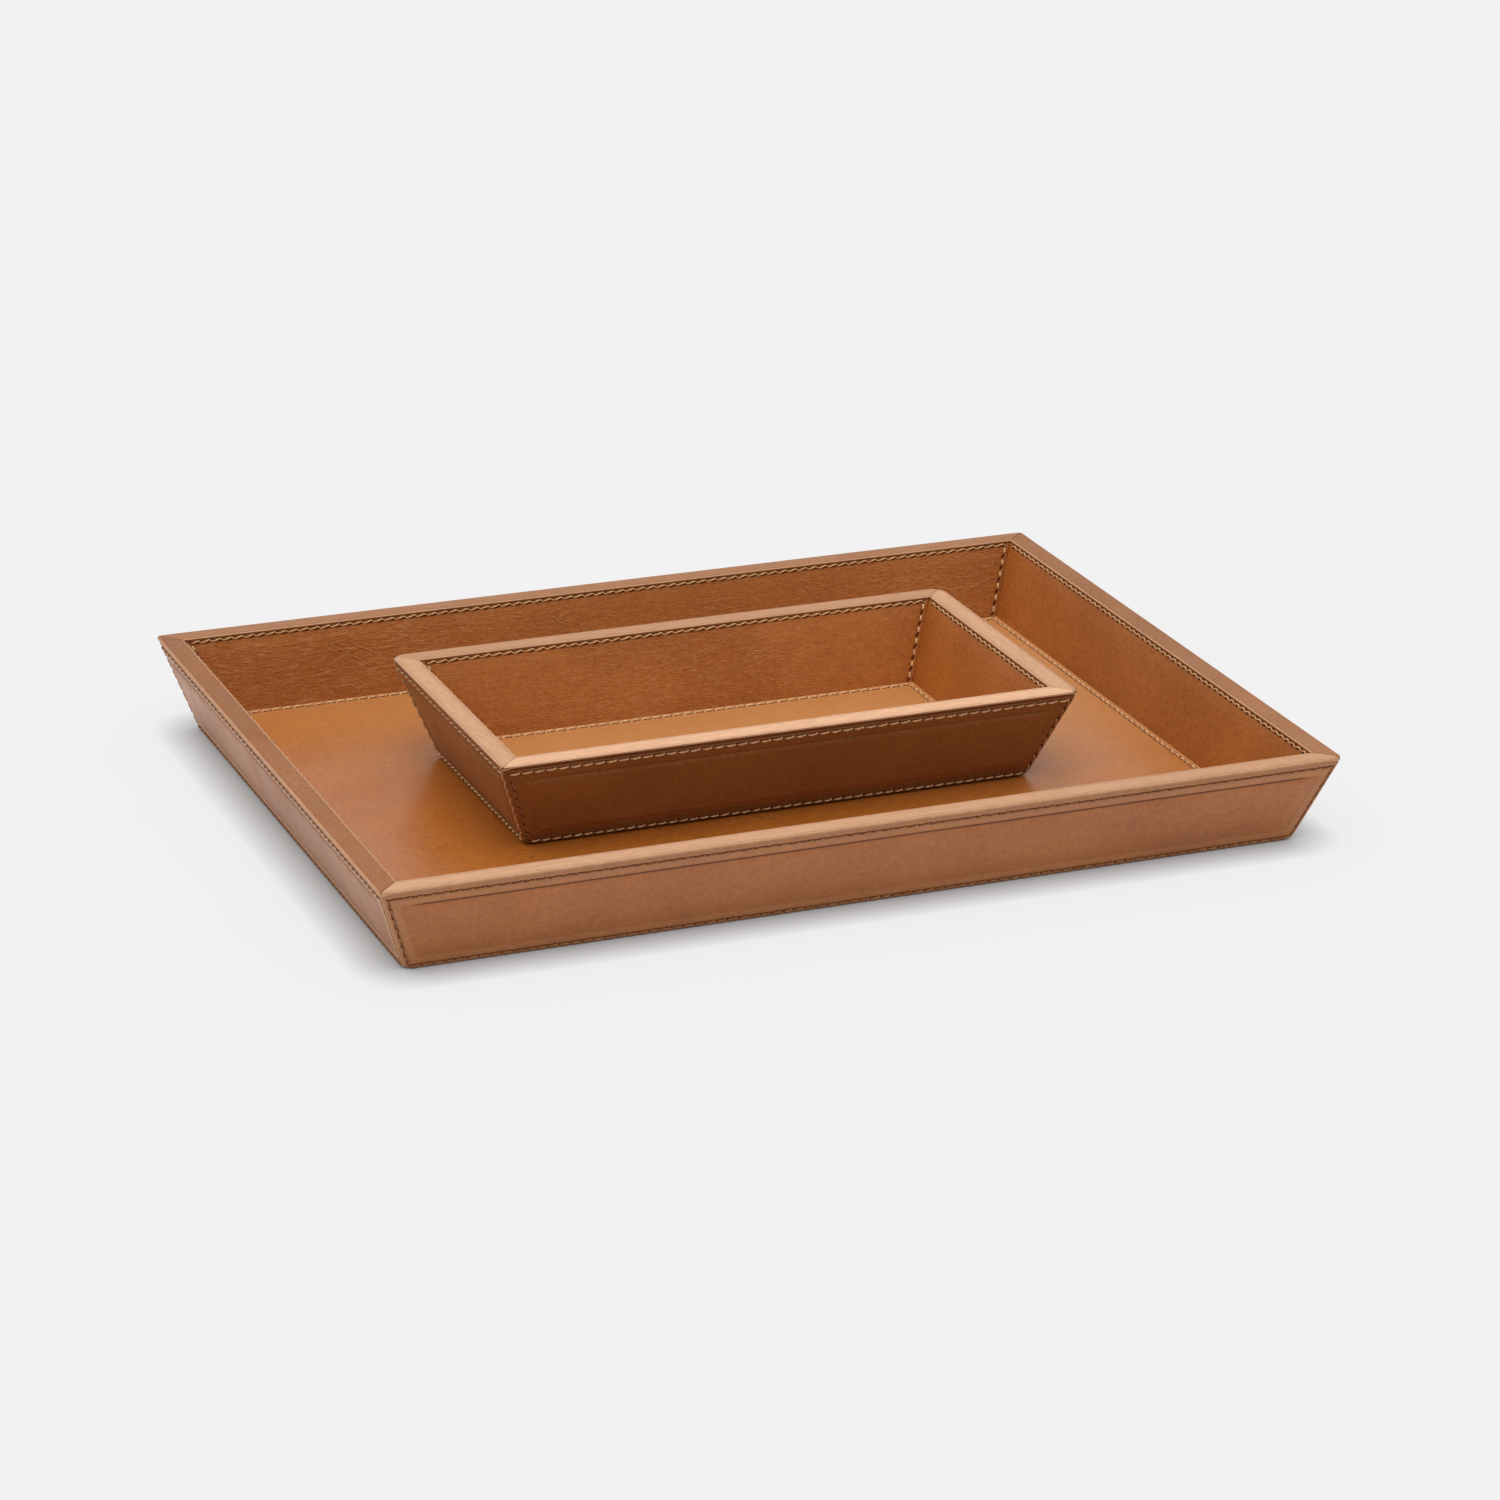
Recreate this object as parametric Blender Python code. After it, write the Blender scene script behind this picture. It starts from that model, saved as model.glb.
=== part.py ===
# A pair of nesting desk trays in hand-stitched leather over rigid board.
# The small tray stands loose on the floor of the large one and lifts straight out.
# Metres, +Z up, +X to the right along the trays. The origin is the middle of the large tray's underside.

from math import atan2, cos, pi, sin, sqrt

import bmesh
import bpy
from mathutils import Vector

MM = 0.001

# Outside sizes of each tray over its rim. The flare is how far the rim stands out past the foot.
LARGE_LENGTH = 432 * MM
LARGE_WIDTH = 325 * MM
LARGE_HEIGHT = 41 * MM
LARGE_FLARE = 14.5 * MM
LARGE_RIM_CORNER = 3 * MM
SMALL_LENGTH = 267 * MM
SMALL_WIDTH = 148 * MM
SMALL_HEIGHT = 43 * MM
SMALL_FLARE = 16.2 * MM
SMALL_RIM_CORNER = 4.5 * MM

# Leather and board, by thickness
PANEL_LEATHER = 1.8 * MM
LINING_LEATHER = 1.6 * MM
RIM_LEATHER = 2.2 * MM
FLOOR_LEATHER = 1.6 * MM
UNDERSIDE_LEATHER = 1.6 * MM
WALL_BOARD = 5.5 * MM
BASE_BOARD = 4 * MM
GLUE_LINE = 0.3 * MM

# The raised field that the wall board gives each outer panel
FIELD_MARGIN = 6.8 * MM
FIELD_SLOPE = 1 * MM
FIELD_RISE = 0.7 * MM
FIELD_EASE = 0.3 * MM

# Cut edges of the leather are rubbed round, and the walls' corners with them
PANEL_CORNER = 2 * MM
PANEL_ROUND = 0.5 * MM
LINING_ROUND = 0.3 * MM
RIM_ROUND = 0.8 * MM

# Waxed thread, lying half sunk in a channel
THREAD_RADIUS = 0.4 * MM
THREAD_PROUD = 0.2 * MM
THREAD_EASE = 0.3 * MM
THREAD_BEND = 1.6 * MM
STITCH_MARGIN = 2.1 * MM
LEG_CLEARANCE = 1.2 * MM

# Points closer than this to a plane lie on it
TOUCHING = 0.001 * MM

# How far a block of stock runs past the tray before it is trimmed
STOCK_OVERRUN = 6 * MM

ROUND_SEGMENTS = 2
BEND_STEPS = 3
THREAD_RESOLUTION = 1

# Each half of a rounded corner is cut by flats at these shares of the quarter turn
CORNER_SHARES = (1 / 10, 3 / 10, 1 / 2)

UP = Vector((0, 0, 1))

# The sides in turn, seen from above: the way out of each wall, and the way along it
SIDES = {
    "front": (Vector((0, -1, 0)), Vector((1, 0, 0))),
    "right": (Vector((1, 0, 0)), Vector((0, 1, 0))),
    "back": (Vector((0, 1, 0)), Vector((-1, 0, 0))),
    "left": (Vector((-1, 0, 0)), Vector((0, -1, 0))),
}
NEIGHBOURS = {
    "front": ("right", "left"),
    "right": ("back", "front"),
    "back": ("left", "right"),
    "left": ("front", "back"),
}

# Depths into a wall, measured square to it from the border of the outer panel
BOARD_DEPTH = PANEL_LEATHER + GLUE_LINE
LINING_DEPTH = BOARD_DEPTH + WALL_BOARD + GLUE_LINE
WALL_DEPTH = LINING_DEPTH + LINING_LEATHER

# Heights of the layers of the bottom, from the underside up
BASE_LEVEL = UNDERSIDE_LEATHER + GLUE_LINE
LINING_LEVEL = BASE_LEVEL + BASE_BOARD + GLUE_LINE
FLOOR_LEVEL = LINING_LEVEL + FLOOR_LEATHER

LEATHER_COLOUR = (0.305, 0.107, 0.036)
RIM_COLOUR = (0.43, 0.205, 0.105)
FLOOR_COLOUR = (0.42, 0.19, 0.07)
UNDERSIDE_COLOUR = (0.21, 0.1, 0.05)
BOARD_COLOUR = (0.42, 0.3, 0.19)
THREAD_COLOUR = (0.62, 0.4, 0.2)


class Tray:
    # The planes that every piece of one tray is cut to, in the tray's own frame

    def __init__(self, name, length, width, height, flare, rim_corner, seat):
        self.name = name
        self.height = height
        self.flare = flare
        self.rim_corner = rim_corner
        self.lean = atan2(flare, height)
        self.wall_top = height - RIM_LEATHER - GLUE_LINE
        self.foot = {
            "front": width / 2 - flare,
            "back": width / 2 - flare,
            "left": length / 2 - flare,
            "right": length / 2 - flare,
        }
        self.stock = Vector((length, width, height)) + 2 * Vector((1, 1, 1)) * STOCK_OVERRUN
        self.root = bpy.data.objects.new(f"{name}_tray", None)
        self.root.location = UP * seat
        collection.objects.link(self.root)

    def normal(self, side):
        out, _ = SIDES[side]
        return out * cos(self.lean) - UP * sin(self.lean)

    def face(self, side, depth):
        """A point on the plane this deep into the wall, and the plane's outward normal."""
        out, _ = SIDES[side]
        normal = self.normal(side)
        return out * self.foot[side] - normal * depth, normal

    def mitre(self, side, end, inset):
        """The plane across a corner, drawn back from the corner by inset."""
        out, along = SIDES[side]
        corner = out * self.foot[side] + along * end * self.foot[NEIGHBOURS[side][0]]
        normal = (along * end - out).normalized()
        return corner - normal * inset, normal

    def corner(self, side, end, radius):
        """The flats that round half of a corner, from the wall's face to the mitre."""
        out, along = SIDES[side]
        centre = out * (self.foot[side] - radius)
        centre += along * end * (self.foot[NEIGHBOURS[side][0]] - radius)
        flats = []
        for share in CORNER_SHARES:
            across, onward = cos(share * pi / 2), sin(share * pi / 2)
            towards = out * across + along * end * onward
            lean = UP * (across + onward) * self.flare / self.height
            flats.append((centre + towards * radius, (towards - lean).normalized()))
        return flats

    def ends(self, side, radius):
        """The planes that end a mitred piece: the mitres, and the rounding of both corners."""
        planes = []
        for end in (1, -1):
            planes.append(self.mitre(side, end, GLUE_LINE / 2))
            planes += self.corner(side, end, radius)
        return planes

    def reach(self, side, depth, level):
        """How far out the wall's layer at this depth stands at a level."""
        return self.foot[side] + self.flare * level / self.height - depth / cos(self.lean)

    def mitre_end(self, side, depth, level):
        """Half the length, at a level, of a layer that ends at the corner mitres."""
        shift = self.foot[NEIGHBOURS[side][0]] - self.foot[side]
        return self.reach(side, depth, level) + shift - GLUE_LINE / sqrt(2)


def material(name, colour, roughness):
    made = bpy.data.materials.new(name)
    made.use_nodes = True
    shader = made.node_tree.nodes["Principled BSDF"]
    shader.inputs["Base Color"].default_value = (*colour, 1)
    shader.inputs["Roughness"].default_value = roughness
    shader.inputs["Metallic"].default_value = 0
    made.diffuse_color = (*colour, 1)
    return made


def finish(bm, tray, name, finish_material):
    """Turns a bmesh into a named piece of a tray."""
    bmesh.ops.recalc_face_normals(bm, faces=bm.faces)
    mesh = bpy.data.meshes.new(f"{tray.name}_{name}")
    bm.to_mesh(mesh)
    bm.free()
    mesh.materials.append(finish_material)
    piece = bpy.data.objects.new(mesh.name, mesh)
    piece.parent = tray.root
    collection.objects.link(piece)
    return piece


def trimmed(tray, planes, bottom, top):
    """A block of stock trimmed to size: each plane takes off what lies on its outer side."""
    bm = bmesh.new()
    bmesh.ops.create_cube(bm, size=1)
    bmesh.ops.scale(bm, vec=tray.stock, verts=bm.verts)
    bmesh.ops.translate(bm, vec=UP * tray.height / 2, verts=bm.verts)
    for point, normal in [*planes, (UP * top, UP), (UP * bottom, -UP)]:
        whole = bm.verts[:] + bm.edges[:] + bm.faces[:]
        cut = bmesh.ops.bisect_plane(
            bm, geom=whole, plane_co=point, plane_no=normal, clear_outer=True
        )
        rim = [part for part in cut["geom_cut"] if isinstance(part, bmesh.types.BMEdge)]
        bmesh.ops.edgenet_fill(bm, edges=rim)
    bmesh.ops.recalc_face_normals(bm, faces=bm.faces)
    return bm


def faces_towards(bm, normal):
    bm.normal_update()
    return [face for face in bm.faces if face.normal.dot(normal) > 0.999]


def lies_on(edge, point, normal):
    return all(abs((vert.co - point).dot(normal)) < TOUCHING for vert in edge.verts)


def round_edges(bm, normal, radius, spared=()):
    """Rounds the edges of the face that looks this way, but none that lie on a spared plane."""
    edges = {edge for face in faces_towards(bm, normal) for edge in face.edges}
    picked = [
        edge
        for edge in edges
        if not any(lies_on(edge, point, across) for point, across in spared)
    ]
    bmesh.ops.bevel(
        bm,
        geom=picked,
        offset=radius,
        segments=ROUND_SEGMENTS,
        profile=0.5,
        affect="EDGES",
    )


def raise_field(bm, tray, side, towards, ease, rise):
    """Lifts the middle of a wall piece's face, leaving a border, with a slope all round."""
    inset = FIELD_MARGIN + ease
    borders = [
        (UP * (tray.wall_top - inset), UP),
        (UP * inset, -UP),
        tray.mitre(side, 1, inset),
        tray.mitre(side, -1, inset),
    ]
    for point, normal in borders:
        field = faces_towards(bm, towards)
        edges = {edge for face in field for edge in face.edges}
        verts = {vert for face in field for vert in face.verts}
        bmesh.ops.bisect_plane(
            bm, geom=[*field, *edges, *verts], plane_co=point, plane_no=normal
        )
    middle = [
        face
        for face in faces_towards(bm, towards)
        if all((face.calc_center_median() - p).dot(n) < 0 for p, n in borders)
    ]
    bmesh.ops.inset_region(bm, faces=middle, thickness=FIELD_SLOPE, depth=rise)


def corners_inset(corners, normal, margin):
    """A flat outline drawn in by a margin; its corners run anticlockwise about normal."""
    drawn = []
    for index, corner in enumerate(corners):
        before = (corner - corners[index - 1]).normalized()
        after = (corners[(index + 1) % len(corners)] - corner).normalized()
        inward_before = normal.cross(before)
        inward_after = normal.cross(after)
        spread = 1 + inward_before.dot(inward_after)
        drawn.append(corner + (inward_before + inward_after) * margin / spread)
    return drawn


def eased(corners, closed):
    """A path through the corners, each one turned through a short bend."""
    path = []
    for index, corner in enumerate(corners):
        if not closed and index in (0, len(corners) - 1):
            path.append(corner)
            continue
        before = (corners[index - 1] - corner).normalized() * THREAD_BEND
        after = (corners[(index + 1) % len(corners)] - corner).normalized() * THREAD_BEND
        for step in range(BEND_STEPS + 1):
            share = step / BEND_STEPS
            path.append(corner + before * (1 - share) ** 2 + after * share**2)
    return path


def tube(name, path, radius, closed):
    curve = bpy.data.curves.new(name, "CURVE")
    curve.dimensions = "3D"
    curve.bevel_depth = radius
    curve.bevel_resolution = THREAD_RESOLUTION
    curve.use_fill_caps = True
    spline = curve.splines.new("POLY")
    spline.points.add(len(path) - 1)
    for point, place in zip(spline.points, path):
        point.co = (*place, 1)
    spline.use_cyclic_u = closed
    return bpy.data.objects.new(name, curve)


def sew(tray, name, leather, path, closed):
    """Lays a thread along a path, and cuts its channel in the leather under it."""
    thread = tube(f"{tray.name}_{name}_thread", path, THREAD_RADIUS, closed)
    thread.data.materials.append(thread_finish)
    thread.parent = tray.root
    collection.objects.link(thread)

    channel_curve = tube("channel_path", path, THREAD_RADIUS + THREAD_EASE, closed)
    cutters.objects.link(channel_curve)
    bpy.context.view_layer.update()
    shape = channel_curve.evaluated_get(bpy.context.evaluated_depsgraph_get())
    mesh = bpy.data.meshes.new_from_object(shape)
    bpy.data.objects.remove(channel_curve)
    bm = bmesh.new()
    bm.from_mesh(mesh)
    bmesh.ops.remove_doubles(bm, verts=bm.verts, dist=TOUCHING)
    bmesh.ops.recalc_face_normals(bm, faces=bm.faces)
    bm.to_mesh(mesh)
    bm.free()
    channel = bpy.data.objects.new(f"{tray.name}_{name}_channel", mesh)
    channel.parent = tray.root
    channel.hide_render = True
    channel.display_type = "WIRE"
    cutters.objects.link(channel)

    cut = leather.modifiers.new("channel", "BOOLEAN")
    cut.operation = "DIFFERENCE"
    cut.object = channel


def wall_outline(tray, side, depth, bottom, top, half_length):
    """The four corners of a wall layer's face, from bottom left to top left as seen from outside."""
    out, along = SIDES[side]
    return [
        out * tray.reach(side, depth, level) + along * end * half_length(level) + UP * level
        for end, level in ((-1, bottom), (1, bottom), (1, top), (-1, top))
    ]


def make_wall_board(tray, side):
    ends = [tray.mitre(side, end, GLUE_LINE / 2) for end in (1, -1)]
    point, normal = tray.face(side, LINING_DEPTH - GLUE_LINE)
    faces = [tray.face(side, BOARD_DEPTH), (point, -normal)]
    board = trimmed(tray, faces + ends, BASE_LEVEL, tray.wall_top)
    raise_field(board, tray, side, normal, FIELD_EASE, FIELD_RISE)
    finish(board, tray, f"{side}_board", board_finish)


def make_outer_panel(tray, side):
    point, normal = tray.face(side, PANEL_LEATHER)
    faces = [tray.face(side, 0), (point, -normal)]
    ends = tray.ends(side, PANEL_CORNER)
    panel = trimmed(tray, faces + ends, 0, tray.wall_top)
    round_edges(panel, normal, PANEL_ROUND, spared=ends)
    raise_field(panel, tray, side, normal, 0, FIELD_RISE)
    raise_field(panel, tray, side, -normal, 0, -FIELD_RISE)
    leather = finish(panel, tray, f"{side}_outer_panel", panel_finish)

    outline = wall_outline(
        tray, side, 0, 0, tray.wall_top, lambda level: tray.mitre_end(side, 0, level)
    )
    seam = corners_inset(outline, normal, STITCH_MARGIN)
    path = eased([corner + normal * THREAD_PROUD for corner in seam], closed=True)
    sew(tray, f"{side}_panel", leather, path, closed=True)


def make_lining(tray, side):
    # The long linings butt against the faces of the short ones, which run on to the boards
    butts = side in ("front", "back")
    end_depth = WALL_DEPTH + GLUE_LINE if butts else LINING_DEPTH
    ends = [tray.face(neighbour, end_depth) for neighbour in NEIGHBOURS[side]]
    point, normal = tray.face(side, WALL_DEPTH)
    faces = [tray.face(side, LINING_DEPTH), (point, -normal)]
    lining = trimmed(tray, faces + ends, LINING_LEVEL, tray.wall_top)
    round_edges(lining, -normal, LINING_ROUND)
    leather = finish(lining, tray, f"{side}_lining", lining_finish)

    foot = FLOOR_LEVEL + LEG_CLEARANCE
    end_margin = 0 if butts else LINING_LEATHER + GLUE_LINE
    outline = wall_outline(
        tray,
        side,
        WALL_DEPTH,
        LINING_LEVEL,
        tray.wall_top,
        lambda level: tray.reach(NEIGHBOURS[side][0], end_depth + end_margin, level),
    )
    outline.reverse()
    top_left, top_right, low_right, low_left = corners_inset(outline, -normal, STITCH_MARGIN)
    if butts:
        right_leg = top_right.lerp(low_right, level_share(top_right, low_right, foot))
        left_leg = top_left.lerp(low_left, level_share(top_left, low_left, foot))
        seam = [left_leg, top_left, top_right, right_leg]
    else:
        seam = [top_left, top_right]
    path = eased([corner - normal * THREAD_PROUD for corner in seam], closed=False)
    sew(tray, f"{side}_lining", leather, path, closed=False)


def level_share(start, end, level):
    """The share of the way from start to end at which a line reaches a level."""
    return (start.z - level) / (start.z - end.z)


def make_rim_strip(tray, side):
    point, normal = tray.face(side, WALL_DEPTH)
    faces = [tray.face(side, 0), (point, -normal)]
    ends = tray.ends(side, tray.rim_corner)
    strip = trimmed(tray, faces + ends, tray.height - RIM_LEATHER, tray.height)
    mitres = [tray.mitre(side, end, GLUE_LINE / 2) for end in (1, -1)]
    round_edges(strip, UP, RIM_ROUND, spared=mitres)
    finish(strip, tray, f"{side}_rim_strip", rim_finish)


def make_bottom(tray):
    def between(depth):
        return [tray.face(side, depth) for side in SIDES]

    underside = trimmed(tray, between(BOARD_DEPTH), 0, UNDERSIDE_LEATHER)
    finish(underside, tray, "underside_leather", underside_finish)

    base = trimmed(tray, between(LINING_DEPTH), BASE_LEVEL, BASE_LEVEL + BASE_BOARD)
    finish(base, tray, "base_board", board_finish)

    edge_depth = WALL_DEPTH + GLUE_LINE
    floor = trimmed(tray, between(edge_depth), LINING_LEVEL, FLOOR_LEVEL)
    round_edges(floor, UP, LINING_ROUND)
    leather = finish(floor, tray, "floor_leather", floor_finish)
    half_length = tray.reach("right", edge_depth, FLOOR_LEVEL)
    half_width = tray.reach("front", edge_depth, FLOOR_LEVEL)
    outline = [
        Vector((x * half_length, y * half_width, FLOOR_LEVEL))
        for x, y in ((-1, -1), (1, -1), (1, 1), (-1, 1))
    ]
    seam = corners_inset(outline, UP, STITCH_MARGIN)
    path = eased([corner + UP * THREAD_PROUD for corner in seam], closed=True)
    sew(tray, "floor", leather, path, closed=True)


def make_tray(name, length, width, height, flare, rim_corner, seat):
    tray = Tray(name, length, width, height, flare, rim_corner, seat)
    make_bottom(tray)
    for side in SIDES:
        make_wall_board(tray, side)
        make_outer_panel(tray, side)
        make_lining(tray, side)
        make_rim_strip(tray, side)


for old in list(bpy.data.objects):
    bpy.data.objects.remove(old)

collection = bpy.data.collections.new("leather_desk_trays")
cutters = bpy.data.collections.new("cutters")
bpy.context.scene.collection.children.link(collection)
bpy.context.scene.collection.children.link(cutters)

panel_finish = material("panel_leather", LEATHER_COLOUR, 0.45)
lining_finish = material("lining_leather", LEATHER_COLOUR, 0.5)
rim_finish = material("rim_leather", RIM_COLOUR, 0.5)
floor_finish = material("floor_leather", FLOOR_COLOUR, 0.4)
underside_finish = material("underside_leather", UNDERSIDE_COLOUR, 0.9)
board_finish = material("board", BOARD_COLOUR, 0.85)
thread_finish = material("thread", THREAD_COLOUR, 0.7)

make_tray(
    "large",
    LARGE_LENGTH,
    LARGE_WIDTH,
    LARGE_HEIGHT,
    LARGE_FLARE,
    LARGE_RIM_CORNER,
    seat=0,
)
make_tray(
    "small",
    SMALL_LENGTH,
    SMALL_WIDTH,
    SMALL_HEIGHT,
    SMALL_FLARE,
    SMALL_RIM_CORNER,
    seat=FLOOR_LEVEL + GLUE_LINE,
)
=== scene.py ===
from math import atan, copysign, cos, exp, pi, radians, sin, sqrt

import bmesh
import bpy
from mathutils import Matrix, Vector, noise


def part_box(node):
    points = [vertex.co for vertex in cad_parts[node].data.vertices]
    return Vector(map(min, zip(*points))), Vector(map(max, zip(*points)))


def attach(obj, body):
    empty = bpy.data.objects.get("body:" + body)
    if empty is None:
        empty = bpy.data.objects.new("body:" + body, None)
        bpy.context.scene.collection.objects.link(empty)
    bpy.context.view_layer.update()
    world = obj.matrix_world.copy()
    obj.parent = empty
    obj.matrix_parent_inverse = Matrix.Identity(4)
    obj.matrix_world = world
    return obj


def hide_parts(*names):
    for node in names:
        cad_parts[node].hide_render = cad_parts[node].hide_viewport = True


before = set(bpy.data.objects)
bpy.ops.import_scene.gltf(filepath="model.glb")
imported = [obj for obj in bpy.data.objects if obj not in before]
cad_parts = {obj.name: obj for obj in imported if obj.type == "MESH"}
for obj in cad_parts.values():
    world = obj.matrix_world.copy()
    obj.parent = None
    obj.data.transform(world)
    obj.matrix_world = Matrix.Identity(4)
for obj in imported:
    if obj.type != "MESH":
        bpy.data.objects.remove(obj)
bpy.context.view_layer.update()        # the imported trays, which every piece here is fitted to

mm = 0.001
up = Vector((0, 0, 1))

# The walls in turn: the way out of each one and the way along it, as seen from outside
sides = {
    "front": (Vector((0, -1, 0)), Vector((1, 0, 0))),
    "right": (Vector((1, 0, 0)), Vector((0, 1, 0))),
    "back": (Vector((0, 1, 0)), Vector((-1, 0, 0))),
    "left": (Vector((-1, 0, 0)), Vector((0, -1, 0))),
}
nextSide = {"front": "right", "right": "back", "back": "left", "left": "front"}


# Sizes of both trays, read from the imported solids

def readTray(name):
    def levels(node):
        low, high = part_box(f"{name}_{node}")
        return low.z, high.z

    def reachOf(node, side, level, choose=max):
        points = [vert.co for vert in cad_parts[f"{name}_{node}"].data.vertices]
        return choose(point.dot(sides[side][0]) for point in points if abs(point.z - level) < 0.01 * mm)

    seat = levels("underside_leather")[0]
    low, high = levels("front_board")
    slope = reachOf("front_board", "front", high) - reachOf("front_board", "front", low)
    slope /= high - low
    rimLow, rimHigh = levels("front_rim_strip")
    foot = {side: reachOf(f"{side}_rim_strip", side, rimLow) - slope * (rimLow - seat) for side in sides}
    rimReach = foot["front"] + slope * (rimLow - seat)
    liningLow, liningTop = (level - seat for level in levels("front_lining"))
    liningBack = reachOf("front_lining", "front", liningLow + seat)
    floorLow, floorTop = (level - seat for level in levels("floor_leather"))
    floorReach = {}
    for side in ("front", "right"):
        floorReach[side] = reachOf("floor_leather", side, floorLow + seat) + slope * (floorTop - floorLow)
    return {
        "name": name,
        "body": f"{name}_tray",
        "seat": seat,
        "slope": slope,
        "cosLean": cos(atan(slope)),
        "sinLean": sin(atan(slope)),
        "foot": foot,
        "rimLow": rimLow - seat,
        "rimHigh": rimHigh - seat,
        "rimWidth": rimReach - reachOf("front_rim_strip", "front", rimLow, min),
        "panelTop": levels("front_outer_panel")[1] - seat,
        "panelDepth": foot["front"] - reachOf("front_outer_panel", "front", seat, min),
        "liningLow": liningLow,
        "liningTop": liningTop,
        "liningBackDepth": foot["front"] + slope * liningLow - liningBack,
        "floorLow": floorLow,
        "floorTop": floorTop,
        "floorReach": floorReach,
    }


trays = {name: readTray(name) for name in ("large", "small")}
glueLine = trays["large"]["rimLow"] - trays["large"]["panelTop"]
for tray in trays.values():
    print(tray["name"], "tray: foot", {side: round(tray["foot"][side] / mm, 2) for side in sides},
          "slope", round(tray["slope"], 4), "rim width", round(tray["rimWidth"] / mm, 2))


# Shader nodes

def feed(tree, node, values):
    for key, value in values.items():
        if isinstance(value, bpy.types.NodeSocket):
            tree.links.new(value, node.inputs[key])
        else:
            node.inputs[key].default_value = value


def addNode(tree, kind, values=None, **settings):
    # Gives the new node's outputs
    made = tree.nodes.new(kind)
    for key, value in settings.items():
        setattr(made, key, value)
    feed(tree, made, values or {})
    return made.outputs


def mixColours(tree, factor, first, second, how="MIX"):
    values = {0: factor, 6: first, 7: second}
    return addNode(tree, "ShaderNodeMix", values, data_type="RGBA", blend_type=how)[2]


def remap(tree, value, fromLow=0, fromHigh=1, toLow=0, toHigh=1):
    values = {"Value": value, 1: fromLow, 2: fromHigh, 3: toLow, 4: toHigh}
    return addNode(tree, "ShaderNodeMapRange", values)["Result"]


def cloud(tree, where, scale, detail=2.0, stretch=(1, 1, 1), distortion=0.0):
    # Noise on the sheet's own places, as wide along each direction as stretch says
    where = addNode(tree, "ShaderNodeMapping", {"Vector": where, "Scale": stretch})[0]
    values = {"Vector": where, "Scale": scale, "Detail": detail, "Distortion": distortion}
    return addNode(tree, "ShaderNodeTexNoise", values)[0]


def compute(tree, operation, *values):
    return addNode(tree, "ShaderNodeMath", dict(enumerate(values)), operation=operation)[0]


def readMark(tree, name, output="Fac"):
    # What a sheet or a thread holds at a place, by attribute
    return addNode(tree, "ShaderNodeAttribute", attribute_name=name)[output]


def addBump(tree, strength, distance, height, under=None):
    values = {"Strength": strength, "Distance": distance, "Height": height}
    if under is not None:
        values["Normal"] = under
    return addNode(tree, "ShaderNodeBump", values)[0]


def newMaterial(name):
    made = bpy.data.materials.new(name)
    made.use_nodes = True
    return made, made.node_tree, made.node_tree.nodes["Principled BSDF"]


def linear(colour):
    # A colour written as 0 to 255 on screen, as the light that it stands for
    shares = [part / 255 for part in colour]
    parts = [((part + 0.055) / 1.055) ** 2.4 if part > 0.04045 else part / 12.92 for part in shares]
    return (*parts, 1)


seamPitch = 5.1 * mm

# Painted shade that stitches leave in the leather: dark holes and slots, and shadows beside the thread. Each
# lies at a place along the row and off it, seen from a hole or from the middle between two, and reaches so
# far each way. Places and reaches are in mm.
seamShadeMarks = {
    "slots": [
        {"middle": 1, "at": (0, 0.1), "reach": (2.1, 0.34), "rise": 0.2, "dark": 1},
        {"middle": 0, "at": (0.2, -0.3), "reach": (0.6, 0.36), "rise": -0.2, "dark": 1},
    ],
    "holes": [
        {"middle": 0, "at": (0, 0.12), "reach": (0.68, 0.52), "rise": 0, "dark": 1},
        {"middle": 1, "at": (0.5, 0.55), "reach": (1.6, 0.2), "rise": 0.16, "dark": 0.4},
    ],
    "zigzag": [
        {"middle": 0, "at": (-0.4, 0.5), "reach": (0.62, 0.36), "rise": -0.3, "dark": 0.5},
        {"middle": 1, "at": (0.5, -0.52), "reach": (1.5, 0.36), "rise": 0.24, "dark": 0.85},
    ],
    "sockets": [{"middle": 0, "at": (0, 0), "reach": (1.25, 0.6), "rise": 0.2, "dark": 0.9}],
    "dashes": [{"middle": 0, "at": (0, 0), "reach": (0.9, 0.5), "rise": 0.5, "dark": 1}],
    "dimples": [{"middle": 0, "at": (0, 0), "reach": (1.2, 0.55), "rise": 0.2, "dark": 0.8}],
    "pins": [{"middle": 0, "at": (0, 0), "reach": (0.16, 0.24), "rise": 0, "dark": 0.5}],
}

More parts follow.
